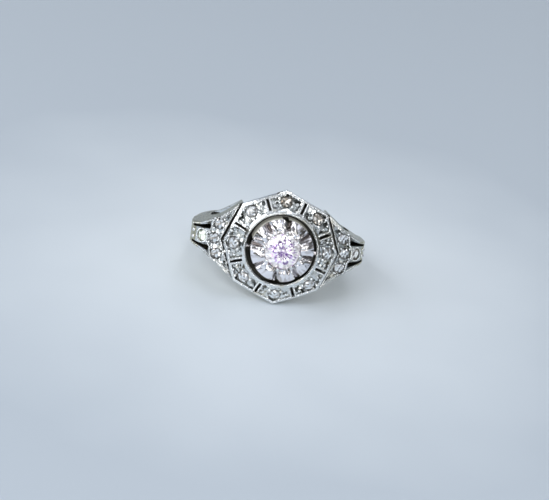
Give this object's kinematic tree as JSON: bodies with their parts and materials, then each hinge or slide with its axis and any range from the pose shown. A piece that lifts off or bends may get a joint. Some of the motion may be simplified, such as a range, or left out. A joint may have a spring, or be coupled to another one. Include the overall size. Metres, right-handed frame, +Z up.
{
  "type": "diamond dome ring",
  "caption": "Finger ring with a domed octagonal head, a halo of small stones round a raised illusion setting, and openwork shoulders.",
  "frame": {"origin": "on the surface that the ring lies on, below the middle of its box", "axes": "+X to the right shoulder seen from the front, -Y to the front, where the head faces, +Z up"},
  "size_m": [0.0198, 0.0223, 0.0125],
  "materials": {
    "white_gold": "polished white gold, softly worn",
    "diamond": "clear, cut and polished"
  },
  "bodies": {
    "root": {"ring_body": "white_gold", "centre_stone": "diamond", "halo_stone_1": "diamond", "halo_stone_2": "diamond", "halo_stone_3": "diamond", "halo_stone_4": "diamond", "halo_stone_5": "diamond", "halo_stone_6": "diamond", "halo_stone_7": "diamond", "halo_stone_8": "diamond", "left_stone_1": "diamond", "left_stone_2": "diamond", "left_stone_3": "diamond", "left_stone_4": "diamond", "right_stone_1": "diamond", "right_stone_2": "diamond", "right_stone_3": "diamond", "right_stone_4": "diamond"}
  },
  "joints": []
}
